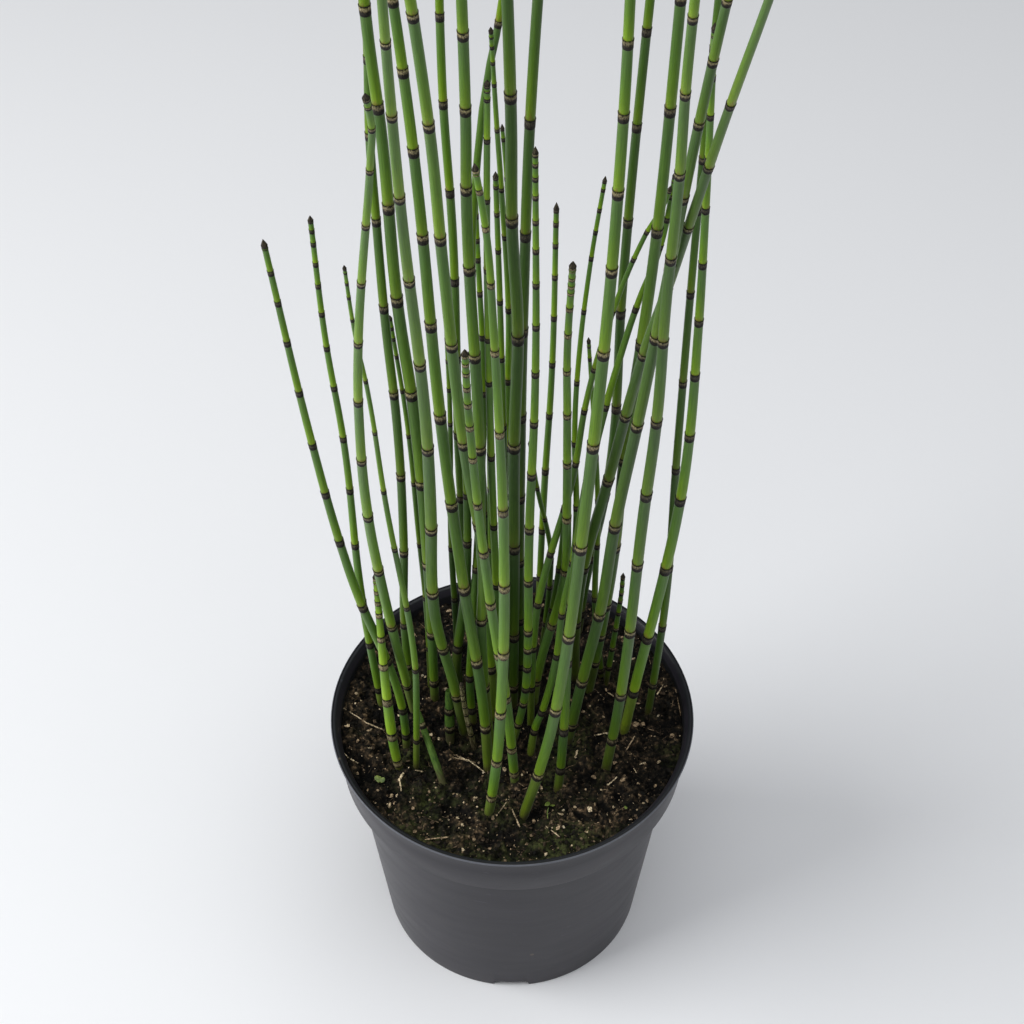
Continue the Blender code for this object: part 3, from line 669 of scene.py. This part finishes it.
def stem_skin(name, deep, fresh):
    """The green skin; deep and fresh are its runs of colour for an old, shaded stem and a young one."""
    material, shader = new_finish(name, 0.42)
    along = attribute(material, "along")
    wander = noise(material, attribute(material, "skin", "Vector"), 0.5, 3, (1, 1, 0.12))
    shift = maths(material, "MULTIPLY", maths(material, "SUBTRACT", wander, 0.5), 0.28)
    shifted = maths(material, "ADD", along, shift)
    old, young = ramp(material, shifted, deep), ramp(material, shifted, fresh)
    colour = mix(material, attribute(material, "fresh"), old, young)
    streak = ramp(material, skin_streaks(material),
                  [(0.3, (0.80, 0.82, 0.80)), (0.7, (1.20, 1.16, 1.20))])
    colour = mix(material, 1.0, colour, streak, "MULTIPLY")
    tone = ramp(material, attribute(material, "tone"),
                [(0.0, (0.86, 0.86, 0.92)), (0.5, (1.0, 1.0, 1.0)), (0.8, (1.16, 1.10, 0.95)),
                 (1.0, (1.45, 1.05, 0.60))])
    colour = mix(material, 1.0, colour, tone, "MULTIPLY")
    spots = noise(material, attribute(material, "skin", "Vector"), 5.0, 2, (1, 1, 0.6))
    spotted = ramp(material, spots, [(0.70, (0, 0, 0)), (0.76, (0.5, 0.5, 0.5))])
    colour = mix(material, spotted, colour, BROWN_SPOT)
    height = add_node(material, "ShaderNodeSeparateXYZ")
    place = add_node(material, "ShaderNodeTexCoord").outputs["Object"]
    link(material, place, height.inputs["Vector"])
    above = maths(material, "SUBTRACT", height.outputs["Z"], DUST_LEVEL)
    above = maths(material, "MULTIPLY", above, DUST_FADE)
    above = maths(material, "ADD", above, maths(material, "MULTIPLY", noise(material, place, 260, 4), 0.8))
    dusty = ramp(material, above, [(0.45, (0.85, 0.85, 0.85)), (0.95, (0, 0, 0))])
    colour = mix(material, dusty, colour, DUST)
    link(material, colour, shader.inputs["Base Color"])
    shader.inputs["Specular IOR Level"].default_value = 0.20
    shader.inputs["Sheen Weight"].default_value = 0.08
    shader.inputs["Sheen Roughness"].default_value = 0.45
    raise_surface(material, shader, skin_streaks(material), 0.25, 0.0002)
    return material


DEEP_GREEN = [(0.0, (0.058, 0.066, 0.004)), (0.05, (0.042, 0.082, 0.002)), (0.22, (0.027, 0.070, 0.001)),
              (0.55, (0.017, 0.052, 0.002)), (0.92, (0.017, 0.049, 0.005)), (1.0, (0.022, 0.053, 0.008))]
FRESH_GREEN = [(0.0, (0.250, 0.260, 0.025)), (0.05, (0.215, 0.370, 0.008)), (0.20, (0.160, 0.310, 0.008)),
               (0.48, (0.122, 0.262, 0.018)), (0.80, (0.100, 0.220, 0.032)), (1.0, (0.102, 0.214, 0.044))]
green_skin = stem_skin("green_stem_skin", DEEP_GREEN, FRESH_GREEN)


# Sheath skin: black-brown at the foot of the collar and along its teeth, with an ash or cream band
# between them on most stems; the band's edges are ragged because the teeth leave their marks on it.
def sheath_skin():
    material, shader = new_finish("banded_sheath", 0.6)
    shader.inputs["Specular IOR Level"].default_value = 0.18
    skin = attribute(material, "skin", "Vector")
    ragged = noise(material, skin, 1.1, 5, (1, 1, 0.5))
    uneven = maths(material, "MULTIPLY", maths(material, "SUBTRACT", ragged, 0.5), 0.55)
    band = maths(material, "ADD", attribute(material, "band"), uneven)
    banded = ramp(material, band, [(0.0, (0.014, 0.012, 0.009)), (0.44, (0.018, 0.015, 0.011)),
                                   (0.54, (0.130, 0.105, 0.056)), (0.70, (0.330, 0.285, 0.165)),
                                   (0.86, (0.230, 0.210, 0.080)), (0.93, (0.012, 0.009, 0.005))])
    dark = ramp(material, band, [(0.0, (0.012, 0.011, 0.008)), (0.35, (0.024, 0.021, 0.017)),
                                 (0.60, (0.070, 0.062, 0.046)), (0.84, (0.034, 0.032, 0.018)),
                                 (0.93, (0.006, 0.005, 0.004))])
    patchy = maths(material, "SUBTRACT", noise(material, skin, 1.2, 2), 0.5)
    patchy = maths(material, "MULTIPLY", patchy, 0.5)
    style = maths(material, "ADD", attribute(material, "style"), patchy, True)
    colour = mix(material, style, dark, banded)
    mottle = ramp(material, noise(material, skin, 2.2, 5, (1, 1, 0.6)),
                  [(0.38, (0.30, 0.28, 0.26)), (0.58, (1.3, 1.28, 1.25))])
    colour = mix(material, 1.0, colour, mottle, "MULTIPLY")
    link(material, colour, shader.inputs["Base Color"])
    raise_surface(material, shader, ragged, 0.5, 0.0003)
    return material


banded_sheath = sheath_skin()


# Dry skin: the dead shoot is brown and cream; the stubs are still green above a rotten brown foot. None
# of them has kept its gloss.
ROTTEN_BROWN = (0.062, 0.045, 0.018)
ROT_LEVEL = 0.148
ROT_FADE = 55.0


def dry_skin():
    material, shader = new_finish("dry_stem_skin", 0.75)
    skin = attribute(material, "skin", "Vector")
    patch = noise(material, skin, 0.9, 4, (1, 1, 0.3))
    dry = ramp(material, patch, [(0.36, (0.050, 0.036, 0.016)), (0.5, (0.210, 0.185, 0.075)),
                                 (0.62, (0.500, 0.430, 0.250))])
    green = ramp(material, patch, [(0.3, (0.030, 0.085, 0.008)), (0.7, (0.105, 0.215, 0.020))])
    colour = mix(material, attribute(material, "fresh"), dry, green)
    height = add_node(material, "ShaderNodeSeparateXYZ")
    place = add_node(material, "ShaderNodeTexCoord").outputs["Object"]
    link(material, place, height.inputs["Vector"])
    above = maths(material, "SUBTRACT", height.outputs["Z"], ROT_LEVEL)
    above = maths(material, "MULTIPLY", above, ROT_FADE)
    above = maths(material, "ADD", above, maths(material, "MULTIPLY", patch, 0.5))
    rotten = ramp(material, above, [(0.50, (0.85, 0.85, 0.85)), (0.85, (0, 0, 0))])
    colour = mix(material, rotten, colour, ROTTEN_BROWN)
    streak = ramp(material, skin_streaks(material), [(0.3, (0.75, 0.75, 0.75)), (0.7, (1.2, 1.2, 1.2))])
    link(material, mix(material, 1.0, colour, streak, "MULTIPLY"), shader.inputs["Base Color"])
    raise_surface(material, shader, skin_streaks(material), 0.5, 0.0003)
    return material


dry_stem_skin = dry_skin()


# Growing a stem: the straight parts are stacked to the stem's own joints, joined, and bent along the
# middle line of its solid, whose thickness they take.
SOLID_SIDES = 8
PATH_STEPS = 16


def solid_line(node):
    """Middles and radii of a stem solid's rings from the foot up."""
    merged = bmesh.new()
    merged.from_mesh(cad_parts[node].data)
    bmesh.ops.remove_doubles(merged, verts=merged.verts, dist=0.00001)
    corners = sorted((v.co.copy() for v in merged.verts), key=lambda corner: corner.z)
    merged.free()
    line = []
    for start in range(0, len(corners), SOLID_SIDES):
        ring = corners[start:start + SOLID_SIDES]
        middle = sum(ring, Vector()) / len(ring)
        line.append((middle, sum((corner - middle).length for corner in ring) / len(ring)))
    if len(corners) % SOLID_SIDES == 1:
        line[-3:] = [(line[-1][0], line[-3][1])]
    return line


def bend_line(node, line):
    """A smooth path through the middles, and its lengths and heights along the way."""
    path_data = bpy.data.curves.new(node + "_line", "CURVE")
    path_data.dimensions = "3D"
    path_data.use_radius = True
    path_data.resolution_u = PATH_STEPS
    spline = path_data.splines.new("BEZIER")
    spline.bezier_points.add(len(line) - 1)
    for point, (middle, radius) in zip(spline.bezier_points, line):
        point.co = middle
        point.radius = radius / THICK
        point.handle_left_type = "AUTO"
        point.handle_right_type = "AUTO"
    path = bpy.data.objects.new(node + "_line", path_data)
    bpy.context.scene.collection.objects.link(path)
    bpy.context.view_layer.update()
    way = [line[0][0].copy()]
    for first, second in zip(spline.bezier_points, list(spline.bezier_points)[1:]):
        way += geometry.interpolate_bezier(first.co, first.handle_right, second.handle_left, second.co,
                                           PATH_STEPS + 1)[1:]
    lengths = np.cumsum([0.0] + [(b - a).length for a, b in zip(way, way[1:])])
    return path, lengths, np.array([p.z for p in way])


SKIN_AROUND = 2.5
SHEATH_LOOKS = {"banded": (1.0, 0.0), "worn": (0.6, 0.0), "dark": (0.08, 0.0), "thin": (1.0, 0.42)}


def part_copy(source, low, high, collar, facts):
    """A copy of a straight part from low to high, its collar's height kept, its facts as attributes."""
    copy = source.copy()
    copy.data = source.data.copy()
    for finish in facts["finishes"]:
        copy.data.materials.append(finish)
    bpy.context.scene.collection.objects.link(copy)
    places = np.zeros(len(copy.data.vertices) * 3)
    copy.data.vertices.foreach_get("co", places)
    places = places.reshape(-1, 3)
    height = places[:, 2].copy()
    length = high - low - collar
    places[:, 2] = low + np.minimum(height, 1.0) * length + np.maximum(height - 1.0, 0.0) * collar
    places[:, :2] *= THICK
    copy.data.vertices.foreach_set("co", places.ravel())
    angle = np.arctan2(places[:, 1], places[:, 0])
    around = SKIN_AROUND * np.column_stack([np.cos(angle), np.sin(angle)])
    skin = np.column_stack([around, places[:, 2] / MM]) + facts["seed"]
    start = facts["start"]
    band = start + (1 - start) * np.clip(height - 1.0, 0.0, 1.0)
    facts = dict(facts, along=np.minimum(height, 1.0), band=band)
    copy.data.attributes.new("skin", "FLOAT_VECTOR", "POINT").data.foreach_set("vector", skin.ravel())
    for fact in ("along", "band", "tone", "style", "fresh"):
        values = np.full(len(places), facts[fact]) if np.isscalar(facts[fact]) else facts[fact]
        copy.data.attributes.new(fact, "FLOAT", "POINT").data.foreach_set("value", values)
    face_height = np.array([sum(height[v] for v in face.vertices) / len(face.vertices)
                            for face in copy.data.polygons])
    copy.data.polygons.foreach_set("material_index", (face_height > 1.0).astype(int))
    return copy


def all_sheath(part):
    part.data.polygons.foreach_set("material_index", np.ones(len(part.data.polygons), int))


NEAR_SIDE = 0.8
SHEATH_TALL = 5.2
FULL_STEM = 2.4
SHEATH_SHARE = 0.46
OVERLAP = 0.16
TIP_TALL = 3.0
YOUNGER_TOP = 0.6


def grow(node, joints, look, fresh, slot_name="green_stem", skin=None, top="tip"):
    """One stem: its parts stacked joint by joint, joined into one piece and bent along its solid."""
    pale, start = SHEATH_LOOKS[look]
    line = solid_line(node)
    path, lengths, heights = bend_line(node, line)
    radii = np.interp(heights, [m.z for m, r in line], [r for m, r in line])
    chance = random.Random(node)
    seed = chance.uniform(0, 400)
    at = []
    for z in (MM * joint for joint in joints):
        depth = float(np.interp(z, [m.z for m, r in line], [m.y for m, r in line])) - CAMERA_PLACE[1]
        near = NEAR_SIDE * float(np.interp(z, heights, radii)) * (CAMERA_PLACE[2] - z) / depth
        at.append(float(np.interp(z, heights, lengths)) + near)
    end = float(lengths[-1])
    cap = TIP_TALL * float(radii[-1])
    if top == "tip" and end - at[-1] > 1.25 * cap:
        at.append(end - cap)
    low, parts = 0.0, []
    for number, place in enumerate(at):
        thick = float(np.interp(place, lengths, radii))
        following = (at + [end])[number + 1]
        collar = min(SHEATH_TALL * MM * thick / (FULL_STEM * MM), SHEATH_SHARE * (following - place),
                     0.8 * (place - low) + 0.0005)
        high = place + collar / 2
        tone = 0.8 * chance.random() if number else 1.0
        younger = fresh
        if skin is None:
            younger += YOUNGER_TOP * (1 - fresh) * (place / end) ** 2
        facts = {"seed": seed + 17.0 * number, "tone": tone, "fresh": younger, "start": start,
                 "style": pale + chance.uniform(-0.45, 0.25), "finishes": (skin or green_skin, banded_sheath)}
        parts.append(part_copy(length_part, low, high, collar, facts))
        low = high - OVERLAP * collar
    facts = {"seed": seed, "tone": 0.5, "fresh": fresh, "style": 0.45, "start": 0.46,
             "finishes": (skin or green_skin, banded_sheath)}
    ending = part_copy(tip_part if top == "tip" else stump_part, low, end, 0.0, facts)
    if top == "tip":
        all_sheath(ending)
    parts.append(ending)
    bpy.ops.object.select_all(action="DESELECT")
    for part in parts:
        part.select_set(True)
    stem = parts[0]
    bpy.context.view_layer.objects.active = stem
    bpy.ops.object.join()
    stem.name = node + "_grown"
    bend = stem.modifiers.new("bend", "CURVE")
    bend.object = path
    bend.deform_axis = "POS_Z"
    bpy.ops.object.modifier_apply(modifier=bend.name)
    bpy.ops.object.shade_smooth_by_angle(angle=math.radians(50))
    bpy.data.objects.remove(path)
    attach(stem, "root")
    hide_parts(node)
    return stem


CLOSER = 0.9
TIP_ROOM = 14
LAST_ROOM = 5
LEAST_GAP = 6
LAST_SHARE = 0.45


def carried_on(joints, top):
    """The joints of a tall stem above the picture's edge, closer and closer to its tip."""
    joints = list(joints)
    gap = joints[-1] - joints[-2]
    while joints[-1] + CLOSER * gap < top - TIP_ROOM:
        gap *= CLOSER
        joints.append(joints[-1] + gap)
    while joints[-1] + LEAST_GAP < top - LAST_ROOM:
        joints.append(joints[-1] + LAST_SHARE * (top - LAST_ROOM + 1 - joints[-1]))
    return joints


# Tall stems: full-grown stems that run out of the top of the picture; each is given the heights of
# its joints in millimetres, how banded its sheaths are and how fresh its green is.
TALL = [
    ("worn", 0.45, [168, 201, 258, 314, 369, 421, 468, 511, 548, 582]),
    ("banded", 0.50, [160, 199, 252, 310, 369, 426, 478, 530, 577]),
    ("banded", 0.50, [184, 232, 285, 344, 413, 480, 540, 594, 642, 681]),
    ("banded", 0.55, [179, 230, 283, 340, 395, 448, 495, 538, 575, 606]),
    ("banded", 0.58, [200, 256, 331, 391, 458, 524, 587, 642]),
    ("dark", 0.48, [195, 242, 282, 322, 367, 410, 456, 499, 539]),
    ("banded", 0.62, [187, 228, 286, 349, 411, 466, 513, 557, 596]),
    ("worn", 0.40, [172, 224, 282, 334, 385, 435, 560, 612]),
    ("worn", 0.22, [160, 200, 267, 340, 412, 485, 554, 618]),
    ("dark", 0.12, [172, 207, 250, 295, 349, 403, 459, 520, 587]),
    ("banded", 0.60, [182, 239, 298, 363, 430, 485, 530, 569, 605, 637]),
    ("dark", 0.15, [157, 197, 239, 297, 355, 407, 458, 506]),
    ("worn", 0.42, [175, 200, 227, 276, 343, 421, 489, 553, 606]),
    ("worn", 0.48, [171, 210, 264, 319, 373, 427, 483, 536, 586, 630, 668]),
    ("banded", 0.40, [159, 199, 258, 331, 409, 471, 517, 560, 602, 635, 665]),
    ("worn", 0.33, [199, 251, 331, 388, 440, 492, 540, 583, 625, 697]),
    ("dark", 0.25, [170, 217, 262, 331, 386, 438, 483, 509, 539, 562, 590]),
]
for number, (look, fresh, joints) in enumerate(TALL, 1):
    node = f"tall_stem_{number:02d}"
    grow(node, carried_on(joints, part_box(node)[1].z / MM), look, fresh)


# Tipped stems: shorter stems whose pointed tips show; their last joints crowd together.
TIPPED = [
    ("dark", 0.72, [155, 176, 215, 256, 303, 336, 368, 401, 431, 454, 471, 484]),
    ("dark", 0.90, [159, 194, 225, 267, 305, 339, 371, 395, 415, 431, 443, 454, 461, 466]),
    ("dark", 0.75, [169, 230, 280, 324, 365, 405, 438, 458, 475, 488, 496, 502]),
    ("worn", 0.85, [177, 247, 307, 361, 412, 461, 506, 548, 585, 617.5, 640.6, 652.2]),
    ("dark", 0.40, [179, 218, 256, 297, 327, 354, 374, 384, 390, 395]),
    ("thin", 0.82, [155, 177, 221, 257, 297, 336, 371, 403, 424, 438.5, 449, 458, 464, 469]),
    ("dark", 0.45, [154, 176, 212, 245, 278, 311, 342, 370, 391, 407, 416, 427, 435, 438]),
    ("thin", 0.85, [162, 195, 237, 286, 337, 390, 440, 488, 525, 554, 572, 580]),
    ("dark", 0.88, [198, 244, 290, 341, 393, 422, 466, 508, 542, 564, 568.5, 571]),
    ("dark", 0.95, [176, 221, 270, 317, 359, 403, 447.6, 476.4, 511.9, 537.6, 549.5, 557.8, 563]),
    ("dark", 0.60, [157, 196, 254, 306, 355, 394, 426, 456, 475]),
    ("dark", 0.55, [191, 244, 295, 343, 387, 422, 452, 473, 488]),
    ("worn", 0.80, [162, 180, 193, 210, 225, 239, 277, 315, 352, 386, 417, 445, 469, 488, 503.5, 516.5,
                    526, 533, 538]),
    ("dark", 0.50, [173, 206, 246, 282, 314, 342, 366, 384, 396, 403.5]),
    ("thin", 0.85, [166, 216, 262, 305, 348, 385, 417, 443, 461, 471.5, 476, 481, 486]),
    ("dark", 0.80, [163, 177, 216, 243, 277, 308, 343, 375, 410, 435, 447, 457, 466]),
    ("dark", 0.40, [152, 178, 205, 241, 270, 297, 320, 341, 355, 362]),
    ("dark", 0.55, [177, 208, 241, 277, 307, 337, 371, 397, 431, 461, 476, 488, 498]),
    ("dark", 0.45, [159, 186, 233, 269, 306, 347, 387, 438, 469, 482, 493, 500]),
    ("dark", 0.95, [181, 227, 282, 334, 379, 419, 453, 487, 518, 545, 567, 586, 597, 606]),
]
for number, (look, fresh, joints) in enumerate(TIPPED, 1):
    grow(f"tipped_stem_{number:02d}", joints, look, fresh)


# Inner stems and shoots: thin stems deep in the clump, and the young shoots beside them.
INNER = [
    ("dark", 0.15, [188, 225, 263, 295, 324, 341, 350]),
    ("dark", 0.15, [179, 217, 253, 297, 333, 353, 369, 381, 388]),
    ("dark", 0.12, [179, 206, 225, 254, 275, 288, 301]),
    ("dark", 0.15, [167, 196, 226, 256, 277, 297, 311]),
    ("dark", 0.20, [181, 222, 261, 305, 330, 347]),
]
for number, (look, fresh, joints) in enumerate(INNER, 1):
    grow(f"inner_stem_{number:02d}", joints, look, fresh)
SHOOT_GREEN = [(0.0, (0.320, 0.340, 0.045)), (0.05, (0.270, 0.430, 0.014)), (0.35, (0.215, 0.385, 0.014)),
               (0.80, (0.150, 0.290, 0.022)), (1.0, (0.130, 0.260, 0.030))]
shoot_skin = stem_skin("pale_shoot_skin", FRESH_GREEN, SHOOT_GREEN)
grow("pale_shoot", [149, 169, 194, 219, 238, 254, 262, 269, 275], "thin", 1.0, "pale_green_shoot", shoot_skin)
grow("small_shoot", [159, 174, 189, 201, 210, 216, 222, 227], "worn", 0.42)


# Dry feet: a dried shoot and two stubs of old stems that have lost their tops.
grow("dried_shoot", [158, 167, 176, 183, 189, 194, 199], "banded", 0.1, "dried_stem", dry_stem_skin)
grow("leaning_stub", [174], "banded", 0.95, "dried_stem", dry_stem_skin, "stump")
grow("swollen_stub", [155, 168], "banded", 1.0, "dried_stem", dry_stem_skin, "stump")
for part in (length_part, tip_part, stump_part):
    bpy.data.objects.remove(part)


# Studio: a pale floor under the pot, a big soft light from the left, a wider one overhead and a dim,
# even light from the room around.
bpy.ops.object.select_all(action="DESELECT")
bpy.ops.mesh.primitive_plane_add(size=12, location=(0, 0, 0))
floor = bpy.context.object
floor.name = "floor"
floor_finish, floor_shader = new_finish("pale_floor", 0.7)
floor_shader.inputs["Base Color"].default_value = (0.84, 0.85, 0.87, 1.0)
floor.data.materials.append(floor_finish)

world = bpy.data.worlds.new("studio")
bpy.context.scene.world = world
world.use_nodes = True
world.node_tree.nodes["Background"].inputs["Color"].default_value = (0.94, 0.97, 1.0, 1.0)
world.node_tree.nodes["Background"].inputs["Strength"].default_value = 0.055


def soft_light(name, place, target, size, power, colour):
    """A square soft light that faces a place on the plant."""
    bpy.ops.object.light_add(type="AREA", location=place)
    light = bpy.context.object
    light.name = name
    light.data.size = size
    light.data.energy = power
    light.data.color = colour
    light.rotation_euler = (Vector(target) - Vector(place)).to_track_quat("-Z", "Y").to_euler()
    return light


soft_light("left_window", (-1.8, -0.35, 1.4), (0, 0, 0.2), 1.7, 46, (1.0, 1.0, 0.99))
soft_light("ceiling_light", (0.35, -0.40, 2.5), (0, 0, 0), 2.8, 51, (0.97, 0.98, 1.0))
bpy.context.scene.view_settings.view_transform = "Standard"
